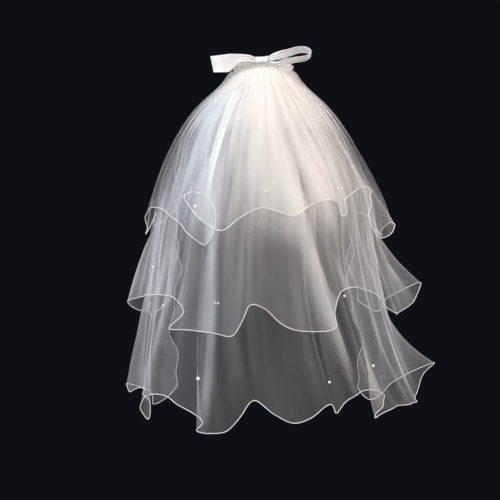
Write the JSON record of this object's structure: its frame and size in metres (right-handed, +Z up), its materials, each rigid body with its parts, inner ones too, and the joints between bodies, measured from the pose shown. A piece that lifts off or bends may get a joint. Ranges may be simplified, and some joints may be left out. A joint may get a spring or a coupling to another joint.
{
  "type": "bridal veil",
  "caption": "Short tiered bridal veil of sheer white tulle with corded, ruffled hems, gathered on a hair comb under a satin ribbon bow with one hanging tail.",
  "frame": {"origin": "the middle of the hair comb's spine, where the hair holds the veil", "axes": "+Z up, the pictured back of the veil faces -Y, the wearer faces +Y, +X to the right as seen from the back"},
  "size_m": [0.5776, 0.3487, 0.6664],
  "materials": {
    "tulle": "sheer soft white net",
    "cord": "white thread wrapped over a thin cord",
    "satin": "white satin ribbon",
    "comb_plastic": "clear plastic"
  },
  "bodies": {
    "root": {"tier_top": "tulle", "tier_middle": "tulle", "tier_bottom": "tulle", "hem_top": "cord", "hem_middle": "cord", "hem_bottom": "cord", "heading": "tulle", "comb": "comb_plastic", "bow_loop_left": "satin", "bow_loop_right": "satin", "bow_knot": "satin", "bow_tail": "satin"}
  },
  "joints": []
}
